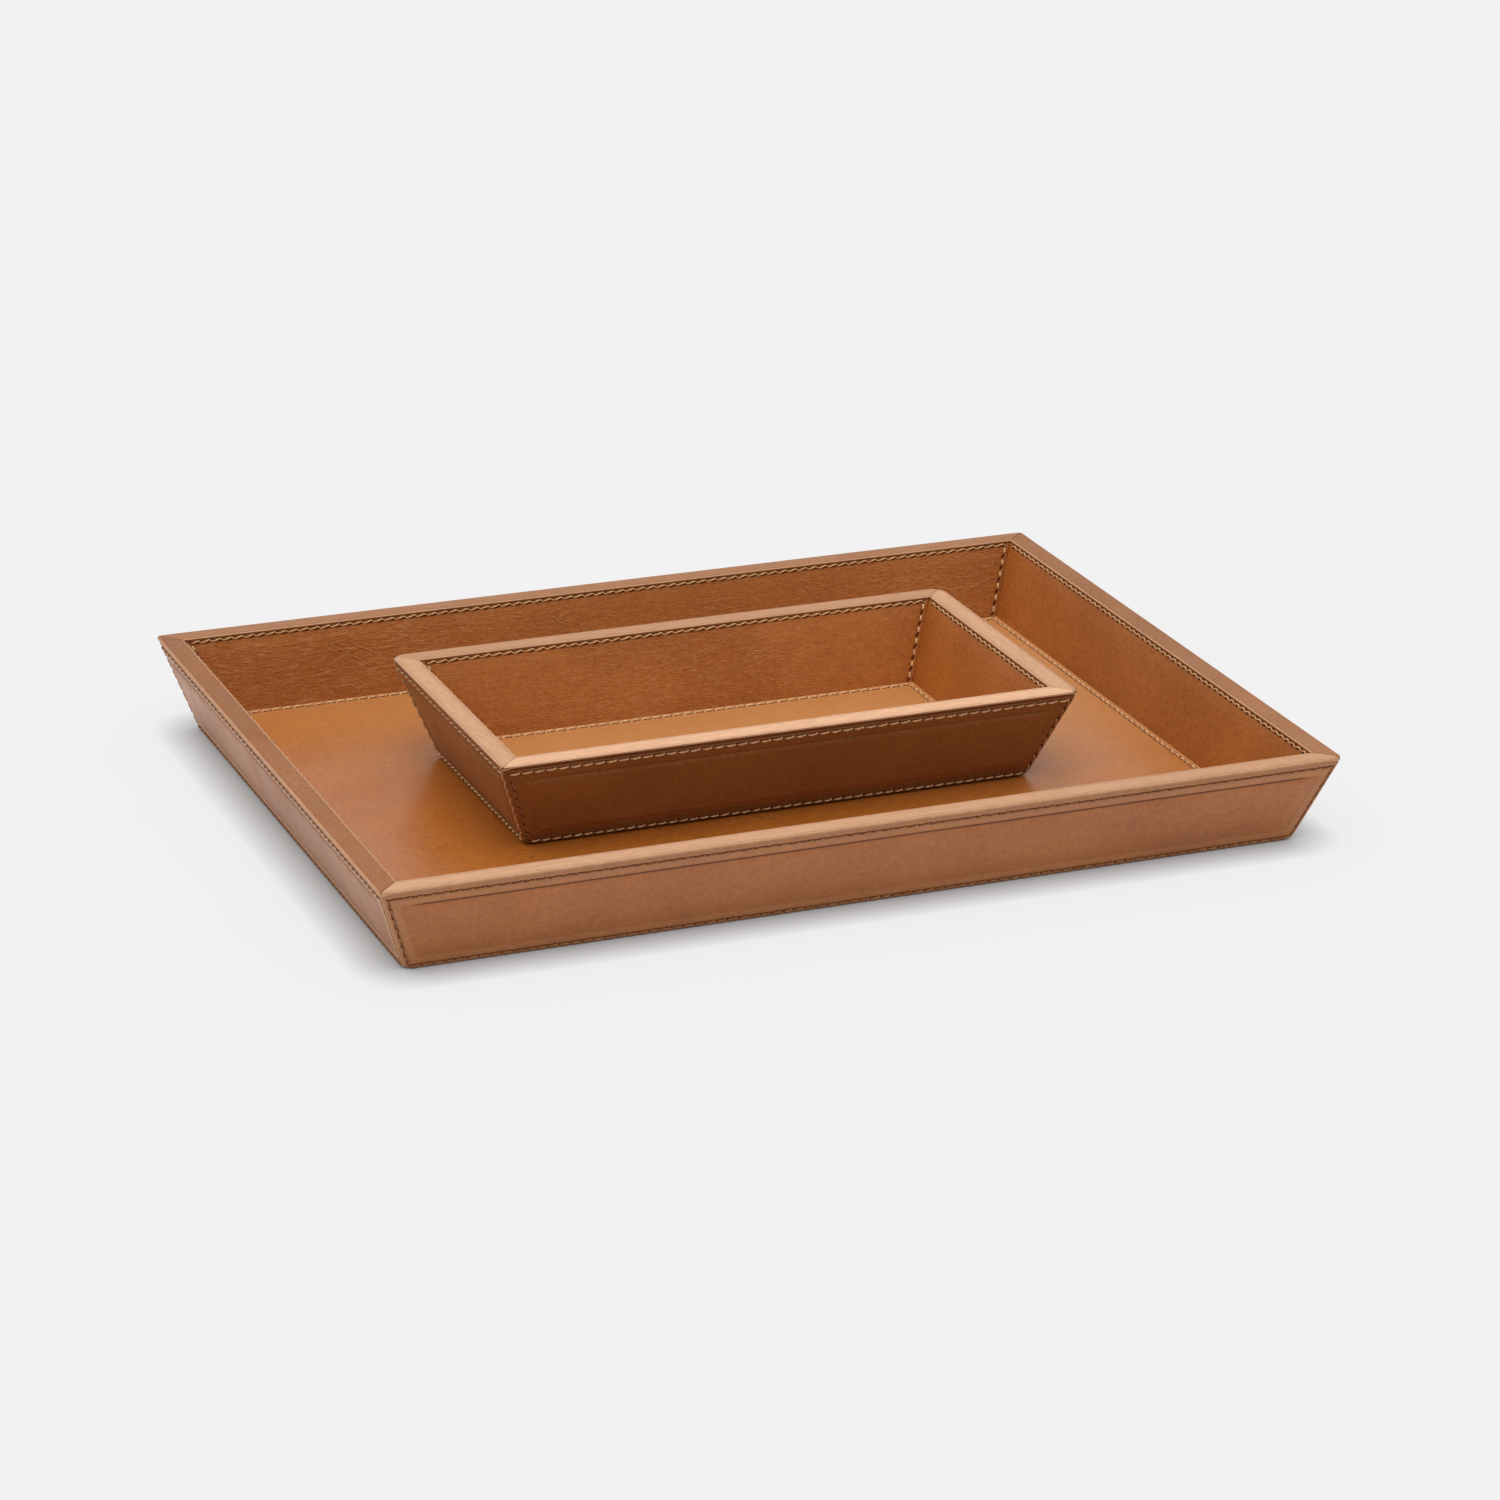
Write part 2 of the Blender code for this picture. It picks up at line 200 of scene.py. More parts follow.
# Full-grain leather, as each layer of the trays shows it. Colours are 0 to 255.
panelLook = {"roughness": 0.36, "grain": 0.10 * mm, "wrinkle": 0.03 * mm, "creaseHighlight": 0, "streak": 0.35}
leatherLooks = {
    "largePanelLeather": {
        **panelLook, "gloss": 0.55,
        "base": (186, 112, 56), "deep": (170, 98, 46), "pale": (218, 170, 124), "dark": (84, 36, 11),
        "marks": {"rowSeam": "slots", "endSeam": "slots"},
    },
    "smallPanelLeather": {
        **panelLook, "gloss": 0.42,
        "base": (150, 98, 52), "deep": (134, 84, 42), "pale": (206, 150, 104), "dark": (38, 15, 6),
        "marks": {"rowSeam": "holes", "endSeam": "holes"},
    },
    "liningLeather": {
        "roughness": 0.48, "gloss": 0.28,
        "grain": 0.14 * mm, "wrinkle": 0.16 * mm, "creaseHighlight": 0.3, "streak": 0.25,
        "base": (184, 110, 46), "deep": (166, 94, 34), "pale": (214, 158, 104), "dark": (74, 34, 10),
        "marks": {"rowSeam": "zigzag", "endSeam": "sockets"},
    },
    "rimLeather": {
        "roughness": 0.48, "gloss": 0.28,
        "grain": 0.10 * mm, "wrinkle": 0.01 * mm, "creaseHighlight": 0, "streak": 0.1,
        "base": (164, 103, 55), "deep": (153, 93, 47), "pale": (248, 196, 155), "dark": (84, 44, 20),
        "marks": {"rowSeam": "pins"},
    },
    "floorLeather": {
        "roughness": 0.31, "gloss": 0.40,
        "grain": 0.08 * mm, "wrinkle": 0, "creaseHighlight": 0, "streak": 0,
        "base": (190, 112, 44), "deep": (180, 104, 36), "pale": (224, 166, 110), "dark": (92, 44, 14),
        "marks": {"rowSeam": "dashes", "endSeam": "dimples"},
    },
}


def seamDark(tree, attribute, marks):
    # The attribute holds how many stitches along its row a place is, its share of the way from one row to
    # the opposite one, and how far apart the two rows are. A mark fades out round its edge. Each mark is
    # painted shade.
    place = readMark(tree, attribute, "Vector")
    stitches, share, apart = addNode(tree, "ShaderNodeSeparateXYZ", {0: place})
    off = compute(tree, "MULTIPLY", compute(tree, "WRAP", share, 0.5, -0.5), apart)
    darkest = 0
    for mark in marks:
        along = compute(tree, "WRAP", compute(tree, "ADD", stitches, 0.5 * mark["middle"]), 0.5, -0.5)
        along = compute(tree, "MULTIPLY_ADD", along, seamPitch, -mark["at"][0] * mm)
        across = compute(tree, "SUBTRACT", off, mark["at"][1] * mm)
        across = compute(tree, "MULTIPLY_ADD", along, -mark["rise"], across)
        along = compute(tree, "DIVIDE", along, mark["reach"][0] * mm)
        across = compute(tree, "DIVIDE", across, mark["reach"][1] * mm)
        far = addNode(tree, "ShaderNodeCombineXYZ", {0: along, 1: across})[0]
        far = addNode(tree, "ShaderNodeVectorMath", {0: far}, operation="LENGTH")["Value"]
        darkest = compute(tree, "MAXIMUM", remap(tree, far, 1.3, 0.75, 0, mark["dark"]), darkest)
    return darkest


def makeLeather(name):
    look = leatherLooks[name]
    base, deep, pale, dark = (linear(look[key]) for key in ("base", "deep", "pale", "dark"))
    made, tree, shader = newMaterial(name)
    sheet = readMark(tree, "sheet", "Vector")
    wearAndSheen = readMark(tree, "wearAndSheen")

    # Dye that took unevenly, in patches, mottles and fine streaks
    patches = remap(tree, cloud(tree, sheet, 16, 3, distortion=0.6), 0.3, 0.7)
    colour = mixColours(tree, patches, deep, base)
    mottle = remap(tree, cloud(tree, sheet, 480, 4), 0.3, 0.7)
    mottle = mixColours(tree, mottle, (0.2, 0.2, 0.2, 1), (0.8, 0.8, 0.8, 1))
    colour = mixColours(tree, 0.34, colour, mottle, "SOFT_LIGHT")
    streaks = cloud(tree, sheet, 1, 5, stretch=(40, 520, 60), distortion=0.4)
    streaks = compute(tree, "MULTIPLY", remap(tree, streaks, 0.35, 0.75), look["streak"])
    colour = mixColours(tree, streaks, colour, deep)

    # Fine creases along the sheet where the hide was slack, with a painted highlight along them
    slack = remap(tree, cloud(tree, sheet, 9, 2), 0.38, 0.6, 0.35, 1)
    slack = compute(tree, "MULTIPLY", readMark(tree, "slack"), slack)
    lines = cloud(tree, sheet, 1, 2.5, stretch=(100, 420, 200), distortion=0.8)
    lines = compute(tree, "ABSOLUTE", compute(tree, "SUBTRACT", lines, 0.5))
    lines = compute(tree, "MULTIPLY", remap(tree, lines, 0, 0.05, 1, 0), slack)
    if look["creaseHighlight"]:
        colour = mixColours(tree, compute(tree, "MULTIPLY", lines, look["creaseHighlight"]), colour, pale)

    # Rubbed edges are paler, and the attribute that holds wear also holds painted sheen and painted
    # highlights; holes, creases and seams are darkened with painted shade
    uneven = remap(tree, cloud(tree, sheet, 1, 3, stretch=(160, 640, 300)), 0.3, 0.7, 0.75, 1)
    wearAndSheenMask = compute(tree, "MULTIPLY", wearAndSheen, uneven)
    colour = mixColours(tree, remap(tree, wearAndSheenMask), colour, pale)
    seams = 0
    for attribute, marks in look["marks"].items():
        seams = compute(tree, "MAXIMUM", seamDark(tree, attribute, seamShadeMarks[marks]), seams)
    shaded = remap(tree, compute(tree, "MAXIMUM", readMark(tree, "shade"), seams))
    colour = mixColours(tree, shaded, colour, dark)

    smoothest, roughest = look["roughness"] - 0.05, look["roughness"] + 0.07
    rough = remap(tree, cloud(tree, sheet, 60, 4), 0.3, 0.7, smoothest, roughest)
    rough = compute(tree, "MULTIPLY_ADD", wearAndSheen, 0.1, rough)
    rough = compute(tree, "MAXIMUM", rough, compute(tree, "MULTIPLY", shaded, 0.8))

    # Grain: pebbled cells under a millimetre wide, pores, and wrinkles where the hide was slack
    cells = {"Vector": sheet, "Scale": 1500}
    cells = addNode(tree, "ShaderNodeTexVoronoi", cells, feature="SMOOTH_F1")["Distance"]
    pebbles = compute(tree, "ADD", cells, cloud(tree, sheet, 900, 4))
    bump = addBump(tree, 0.6, look["grain"], pebbles)
    if look["wrinkle"]:
        folds = cloud(tree, sheet, 1, 6, stretch=(130, 700, 200), distortion=1.4)
        folds = compute(tree, "MULTIPLY_ADD", remap(tree, folds, 0.35, 0.62), slack, lines)
        bump = addBump(tree, 1.0, look["wrinkle"], folds, bump)
    bump = addBump(tree, 0.7, 0.3 * mm, compute(tree, "SUBTRACT", 1, seams), bump)
    values = {"Base Color": colour, "Roughness": rough, "Specular IOR Level": look["gloss"], "Normal": bump}
    feed(tree, shader, values)
    return made


leathers = {name: makeLeather(name) for name in leatherLooks}

threadLooks = {
    "tanThread": {"colour": (178, 122, 74), "shadow": (138, 86, 46), "paintedShade": (110, 62, 30)},
    "beigeThread": {"colour": (248, 210, 162), "shadow": (212, 162, 112), "paintedShade": (134, 74, 36)},
    "goldThread": {"colour": (252, 212, 156), "shadow": (222, 172, 116), "paintedShade": (160, 98, 50)},
}


def makeThread(name):
    look = threadLooks[name]
    made, tree, shader = newMaterial(name)
    place = addNode(tree, "ShaderNodeTexCoord")["Object"]
    patches = remap(tree, cloud(tree, place, 700, 3), 0.35, 0.65)
    colour = mixColours(tree, patches, linear(look["shadow"]), linear(look["colour"]))
    # Painted shade darkens the thread of rows that lie in shadow
    colour = mixColours(tree, remap(tree, readMark(tree, "paintedShade")), colour, linear(look["paintedShade"]))
    bump = addBump(tree, 0.5, 0.1 * mm, cloud(tree, place, 3000, 3))
    feed(tree, shader, {"Base Color": colour, "Roughness": 0.62, "Normal": bump})
    return made


threads = {name: makeThread(name) for name in threadLooks}


def makeFlesh():
    # The napped back of the hide, under each tray
    made, tree, shader = newMaterial("fleshSide")
    place = addNode(tree, "ShaderNodeTexCoord")["Object"]
    nap = cloud(tree, place, 1800, 5, distortion=0.5)
    patches = remap(tree, cloud(tree, place, 30, 4), 0.3, 0.7)
    colour = mixColours(tree, patches, linear((112, 72, 42)), linear((142, 98, 62)))
    colour = mixColours(tree, remap(tree, nap, 0.35, 0.65, 0, 0.5), colour, linear((86, 52, 30)))
    bump = addBump(tree, 0.8, 0.2 * mm, nap)
    feed(tree, shader, {"Base Color": colour, "Roughness": 0.92, "Normal": bump})
    return made


def makeBoard():
    # Pressed fibre board, with its long pale fibres
    made, tree, shader = newMaterial("fibreBoard")
    place = addNode(tree, "ShaderNodeTexCoord")["Object"]
    fibres = cloud(tree, place, 1, 6, stretch=(260, 260, 1400), distortion=1.2)
    streaks = remap(tree, fibres, 0.35, 0.65)
    flecks = remap(tree, cloud(tree, place, 900, 4), 0.55, 0.75, 0, 0.6)
    colour = mixColours(tree, streaks, linear((146, 116, 82)), linear((184, 154, 116)))
    colour = mixColours(tree, flecks, colour, linear((96, 70, 46)))
    bump = addBump(tree, 0.6, 0.15 * mm, fibres)
    feed(tree, shader, {"Base Color": colour, "Roughness": 0.85, "Normal": bump})
    return made


fleshSide = makeFlesh()
fibreBoard = makeBoard()
print("materials made:", len(bpy.data.materials))


# Sheets of leather: a grid with rings of faces round it, one ring for each inset from the cut edge

sheetSettings = {
    "perStitch": 6,        # faces along each stitch
    "bunching": 0.5,       # how far they crowd in on the holes
    "settleStitches": 3,   # stitches at each end of a row that take up the slant of the corner
    "sharpAngle": 50,
}


def makeRings(stitches, finer, insets, backs, tall=1):
    # Vertices come back with their shares along and up the sheet in x and y, and inset and back in layers.
    # Finer is the number of faces along a stitch in the sheet's middle, and tall how many times that up it.
    bm = bmesh.new()
    inset = bm.verts.layers.float.new("inset")
    back = bm.verts.layers.float.new("back")
    columns, rows = stitches
    bmesh.ops.create_grid(bm, x_segments=columns * finer, y_segments=rows * finer * tall, size=1)
    for vert in bm.verts:
        vert[inset] = insets[0]
    rim = [edge for edge in bm.edges if edge.is_boundary]
    cuts = sheetSettings["perStitch"] // finer - 1
    if cuts:
        bmesh.ops.subdivide_edges(bm, edges=rim, cuts=cuts)
        rim = [edge for edge in bm.edges if edge.is_boundary]
    for ringInset, ringBack in [(value, 0) for value in insets[1:]] + list(backs):
        made = bmesh.ops.extrude_edge_only(bm, edges=rim)["geom"]
        for part in made:
            if isinstance(part, bmesh.types.BMVert):
                part[inset] = ringInset
                part[back] = ringBack
        rim = [part for part in made if isinstance(part, bmesh.types.BMEdge) and part.is_boundary]
    bmesh.ops.holes_fill(bm, edges=rim, sides=0)
    return bm


def bunched(share, stitches):
    return share - sheetSettings["bunching"] * sin(pi * (share + 1) * stitches) / (pi * stitches)


def spread(share, half, margin, inset, stitches):
    # The seam runs margin in from the edge, and the last stitches take up what another inset leaves
    settle = min(1, 2 * sheetSettings["settleStitches"] / stitches)
    easing = max(0, abs(share) - 1 + settle) / settle
    return share * (half - margin) + copysign(1, share) * easing * (margin - inset)


def dropAt(distance, radius):
    # How far a rounded edge has fallen away at this distance from it
    if distance >= radius:
        return 0
    return radius - sqrt(max(0, radius**2 - (radius - distance) ** 2))


def smooth(share):
    share = min(1, max(0, share))
    return share * share * (3 - 2 * share)


def hill(distance, width):
    return exp(-((distance / width) ** 2))


def offHole(place, half, stitches):
    # How far a place on a row is from its nearest hole
    pitch = 2 * half / stitches
    nearest = min(stitches, max(0, round((place + half) / pitch)))
    return place + half - nearest * pitch


def waves(place, shift, size):
    return noise.noise(Vector((place[0] / size, place[1] / size, shift * 7.3)))


def onSheet(x, y, shift):
    # A place on a hide of its own for each sheet
    return x + shift, y, shift * 0.37


def onSeam(stitches, count, share, apart):
    # What seamDark reads. Past a row's ends the opposite row is made to seem far, so that no mark shows.
    beyond = max(0, -stitches, stitches - count)
    return stitches, share, apart * (1 + 900 * beyond)


noSeam = (0, 0.5, 1)    # for a sheet with no row there
rowEnd = 0.6 * mm       # how far a row's pull reaches past its last hole


def addObject(bm, name, finish):
    mesh = bpy.data.meshes.new(name)
    bm.to_mesh(mesh)
    bm.free()
    mesh.materials.append(finish)
    made = bpy.data.objects.new(name, mesh)
    bpy.context.scene.collection.objects.link(made)
    return made


def addPiece(bm, tray, name, node, finish):
    # Names are those within the tray
    piece = addObject(bm, f"{tray['name']}_{name}", finish)
    piece.data.shade_smooth()
    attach(piece, tray["body"])
    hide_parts(f"{tray['name']}_{node}")
    return piece


def addSheet(bm, place, tray, name, node, finish):
    # place gives each vertex its point and what the materials read there, by attribute
    inset = bm.verts.layers.float["inset"]
    back = bm.verts.layers.float["back"]
    placed = [place(vert.co.x, vert.co.y, vert[inset], vert[back]) for vert in bm.verts]
    for key, first in placed[0][1].items():
        kinds = bm.verts.layers.float_vector if isinstance(first, tuple) else bm.verts.layers.float
        layer = kinds.new(key)
        for vert, (_, marks) in zip(bm.verts, placed):
            vert[layer] = marks[key]
    for vert, (point, _) in zip(bm.verts, placed):
        vert.co = point
    for key in ("inset", "back"):
        bm.verts.layers.float.remove(bm.verts.layers.float[key])
    bmesh.ops.recalc_face_normals(bm, faces=bm.faces)
    piece = addPiece(bm, tray, name, node, finish)
    piece.data.set_sharp_from_angle(angle=radians(sheetSettings["sharpAngle"]))


def sewnRows(pointAt, columns, rows):
    # The holes of a sheet's four rows, the two along it and the two up its ends
    along = [[pointAt(2 * k / columns - 1, b) for k in range(columns + 1)] for b in (1, -1)]
    return along + [[pointAt(a, 2 * k / rows - 1) for k in range(rows + 1)] for a in (1, -1)]


def onWall(tray, side, along, level, depth=0, lift=0, corner=0):
    # A point on a wall: along it from its middle, level above the tray's underside, depth in from its outer
    # face and lift out from it. The tray's corners are rounded in plan to the corner radius.
    out, onward = sides[side]
    reach = tray["foot"][side] + tray["slope"] * level
    straight = tray["foot"][nextSide[side]] + tray["slope"] * level - corner
    hand = copysign(1, along)
    turn = 0
    if corner:
        turn = min(max(abs(along) - straight, 0) / corner, pi / 4)
    towards = out * cos(turn) + onward * hand * sin(turn)
    normal = towards * tray["cosLean"] - up * tray["sinLean"]
    centre = out * (reach - corner) + onward * hand * min(abs(along), straight if corner else abs(along))
    return centre + towards * (corner - depth) + up * (tray["seat"] + level) + normal * lift, normal


def seamRelief(look, *rows):
    # The deepest pull and darkest shade of rows of stitches: a hole at each end of a stitch, and a gutter
    # where it is drawn in. A row says how far off it and off its nearest hole a place is, and if it is near.
    pulls = [0]
    shades = [0]
    for across, along, near in rows:
        if near:
            hole = exp(-(across**2 + along**2) / look["holeRadius"] ** 2)
            gutter = hill(across, look["gutterWidth"])
            pulls.append(look["holeDepth"] * hole + look["gutterDepth"] * gutter)
            shades.append(0.5 * hole + look["gutterShade"] * gutter)
    return max(pulls), max(shades)


def inMm(*values):
    return [value * mm for value in values]


# Outer panels

panelSettings = {
    "margin": 1.75 * mm,
    "corner": 2 * mm,
    "toe": 5 * mm,            # how much rounder the corner is in plan at the foot
    "toeHeight": 4 * mm,
    "edgeRound": 0.6 * mm,
    "endRound": 0.45 * mm,
    "fieldMargin": 6.3 * mm,
    "fieldRise": 0.7 * mm,
    "creaseWidth": 0.36 * mm,
    "creaseEnds": 11 * mm,
    "holeDepth": 0.55 * mm,
    "holeRadius": 0.5 * mm,
    "gutterDepth": 0.2 * mm,
    "gutterWidth": 0.8 * mm,
    "gutterShade": 0.12,
    "waviness": 0.12 * mm,
    "waveSize": 34 * mm,
    "insets": inMm(10.2, 9.0, 8.1, 7.5, 7.1, 6.8, 6.55, 6.3, 6.05, 5.75, 5.2, 4.3, 3.4, 2.8, 2.4, 2.05,
                   1.75, 1.45, 1.15, 0.85, 0.6, 0.38, 0.2, 0.08, 0),
    "recess": 1.001,          # a back past 1 is where the board's raised field fills the panel's hollow
    "footShade": 0.6,         # painted shade along the foot, where the panel meets the table
    "footReach": 0.8 * mm,
    # Small creases that the stitches at each end draw into the leather, beside their holes
    "pullReach": 6 * mm,
    "pullAside": 0.4 * mm,
    "pullWidth": 0.22 * mm,
    "pullClear": 9 * mm,      # from the corners
    # Painted light: how much paler each panel is painted, all over and on its border
    "sheenTones": {"small_left": 0.28, "large_left": 0.06},
    "borders": {"large_left": 0.75, "large_front": 0.18, "large_right": 0.18, "large_back": 0.18},
    # The field's crease is sharp along the top; otherSlope and otherCrease are for its other sides
    "large": {"fieldSlope": 2.2 * mm, "creaseDepth": 0.4 * mm, "creaseShade": 0.95,
              "otherSlope": 7 * mm, "otherCrease": 0.05, "pullDepth": 0.1 * mm, "pullShade": 0.3,
              "rubbed": 1, "footBorderShade": 0},
    "small": {"fieldSlope": 2 * mm, "creaseDepth": 0.18 * mm, "creaseShade": 0.3, "fieldRise": 0.6 * mm,
              "otherSlope": 2.5 * mm, "otherCrease": 0.25, "pullDepth": 0.05 * mm, "pullShade": 0.15,
              "rubbed": 0.35, "footBorderShade": 0.3},
}


def makePanel(tray, side, shift):
    look = {**panelSettings, **panelSettings[tray["name"]]}
    wall = f"{tray['name']}_{side}"
    margin = look["margin"]
    height = tray["panelTop"] / tray["cosLean"]

    def cornerAt(climb):
        return look["corner"] + look["toe"] * dropAt(climb, look["toeHeight"]) / look["toeHeight"]

    def halfAt(climb):
        full = tray["foot"][nextSide[side]] + tray["slope"] * climb * tray["cosLean"]
        return full - cornerAt(climb) * (1 - pi / 4) - glueLine / 2

    def at(along, climb, depth=0, lift=0):
        return onWall(tray, side, along, climb * tray["cosLean"], depth, lift, cornerAt(climb))

    columns = round(2 * (halfAt(height / 2) - margin) / seamPitch)
    rows = round((height - 2 * margin) / seamPitch)
    field = look["fieldMargin"]
    backs = [(0, 0.5), (0, 1), (field, 1), (field + mm, look["recess"])]

    def place(a, b, inset, back):
        a, b = bunched(a, columns), bunched(b, rows)
        climb = height / 2 + spread(b, height / 2, margin, inset, rows)
        half = halfAt(climb)
        along = spread(a, half, margin, inset, columns)
        seamHalf, seamHeight = half - margin, height - 2 * margin
        stitchesOn = (along + seamHalf) / seamHalf * columns / 2
        stitchesUp = (climb - margin) / seamHeight * rows
        marks = {
            "sheet": onSheet(along, climb, shift),
            "rowSeam": onSeam(stitchesOn, columns, stitchesUp / rows, seamHeight),
            "endSeam": onSeam(stitchesUp, rows, stitchesOn / columns, 2 * seamHalf),
            "slack": 0.5,
        }
        if back:
            lift = look["fieldRise"] if back > 1 else 0
            point, _ = at(along, climb, tray["panelDepth"] * min(1, back), lift)
            return point, {**marks, "wearAndSheen": 1 - back * 0.5, "shade": 0.3}
        fromTop, fromFoot, fromEnd = height - climb, climb, half - abs(along)
        nearest = min(fromTop, fromFoot, fromEnd)
        fromHoleOn = offHole(along, seamHalf, columns)
        fromHoleUp = offHole(climb - height / 2, seamHeight / 2, rows)
        lift = look["fieldRise"] * smooth((fromTop - field) / look["fieldSlope"])
        lift *= smooth((min(fromFoot, fromEnd) - field) / look["otherSlope"])
        crease = hill(nearest - field, look["creaseWidth"])
        if nearest == fromTop:
            crease *= smooth((fromEnd - field) / look["creaseEnds"])
        else:
            crease *= look["otherCrease"]
        lift -= look["creaseDepth"] * crease
        reach = look["pullReach"] * (0.7 + 0.5 * waves((0, climb), shift, 5 * mm))
        drawn = hill(fromHoleUp - look["pullAside"], look["pullWidth"])
        drawn *= smooth(1 - (fromEnd - margin) / reach) * smooth((fromEnd - margin) / mm)
        drawn *= smooth(min(fromTop, fromFoot) / look["pullClear"])
        lift -= look["pullDepth"] * drawn
        # The top edge is less rounded towards the corners
        topRound = look["edgeRound"] * (0.3 + 0.7 * smooth(fromEnd / (5 * mm)))
        fallen = dropAt(fromTop, topRound) + dropAt(fromFoot, look["edgeRound"])
        lift -= max(fallen, dropAt(fromEnd, look["endRound"]))
        fromEdge = min(fromTop, fromFoot)
        past = margin - rowEnd
        pull, dark = seamRelief(look, (fromEdge - margin, fromHoleOn, inset < 5 * mm and fromEnd > past),
                                (fromEnd - margin, fromHoleUp, inset < 5 * mm and fromEdge > past))
        lift -= pull
        wave = look["waviness"] * waves((along, climb), shift, look["waveSize"])
        lift += wave * smooth(nearest / (6 * mm))
        # Painted light on the border and over the whole panel; the cut edges are rubbed pale
        border = look["borders"].get(wall, 0) * smooth((field - nearest) / mm)
        rubbed = max(hill(fromEnd, 0.5 * mm), 0.75 * hill(fromTop, 0.45 * mm)) * look["rubbed"]
        wearAndSheen = max(border, look["sheenTones"].get(wall, 0), rubbed)
        # Painted shade along the foot and on the border above it
        paintedShade = look["footShade"] * hill(fromFoot, look["footReach"])
        paintedShade += look["footBorderShade"] * smooth((field - fromFoot) / mm)
        paintedShade *= smooth(fromEnd / mm)
        shade = max(look["creaseShade"] * crease, look["pullShade"] * drawn, dark, paintedShade)
        return at(along, climb, 0, lift)[0], {**marks, "wearAndSheen": wearAndSheen, "shade": shade}

    bm = makeRings((columns, rows), 2, look["insets"], backs)
    addSheet(bm, place, tray, f"{side}_sewn_panel", f"{side}_outer_panel",
             leathers[f"{tray['name']}PanelLeather"])

    def seamPoint(a, b):
        climb = height / 2 + b * (height / 2 - margin)
        return at(a * (halfAt(climb) - margin), climb)

    return sewnRows(seamPoint, columns, rows)


# Linings

liningSettings = {
    "margin": 2.2 * mm,
    "topMargin": 0.95 * mm,   # the top row runs closer to the edge
    "stripEdge": 0.85 * mm,   # how far under the rim's top the lining ends
    "edgeRound": 0.25 * mm,
    "swell": 0.3 * mm,
    "holeDepth": 0.6 * mm,
    "holeRadius": 0.55 * mm,
    "gutterDepth": 0.22 * mm,
    "gutterWidth": 0.9 * mm,
    "gutterShade": 0.12,
    "waviness": 0.2 * mm,
    "waveSize": 30 * mm,
    "insets": inMm(6.5, 5.2, 4.2, 3.5, 3.0, 2.6, 2.2, 1.8, 1.4, 1.0, 0.6, 0.3, 0.1, 0),
    # How slack the hide is, how high its ridges stand, and the faces to a stitch that show them
    "wrinkles": {
        "large_back": (1, 0.26 * mm, 6, 3),
        "large_front": (1, 0.1 * mm, 3, 2),
        "small_back": (0.8, 0.05 * mm, 3, 2),
    },
    "otherWrinkles": (0.15, 0.05 * mm, 3, 1),
    # Creases across a lining, from one place to another, along from its middle and up from its foot, in mm
    "creases": {"large_back": [((138, 27), (120, 15)), ((129, 27), (118, 21)), ((-96, 28), (-108, 14)),
                               ((30, 28), (22, 17))]},
}


def wrinkled(along, climb, shift):
    # Ridges of a slack hide: fine lines that wander along the wall, gathered in patches
    drift = 0.8 * noise.noise(Vector((along / (15 * mm), climb / (10 * mm), shift * 3.1)))
    drift += 0.3 * noise.noise(Vector((along / (4.5 * mm), climb / (7 * mm), shift * 5.3)))
    deep = noise.noise(Vector((along / (19 * mm), climb / (3.0 * mm) + drift, shift)))
    fine = noise.noise(Vector((along / (7 * mm), climb / (1.6 * mm) + 1.6 * drift, shift + 9)))
    slack = noise.noise(Vector((along / (60 * mm), climb / (22 * mm), shift + 20)))
    slack = smooth(0.4 + 1.6 * slack + 0.35 * smooth((along - 40 * mm) / (90 * mm)))
    broken = smooth(0.45 + 1.8 * noise.noise(Vector((along / (9 * mm), climb / (4 * mm), shift + 31))))
    return slack * max(broken * hill(deep, 0.09), 0.4 * hill(fine, 0.12))


def offLine(place, start, end):
    run = end - start
    share = min(1, max(0, (place - start).dot(run) / run.length_squared))
    return (place - start - run * share).length


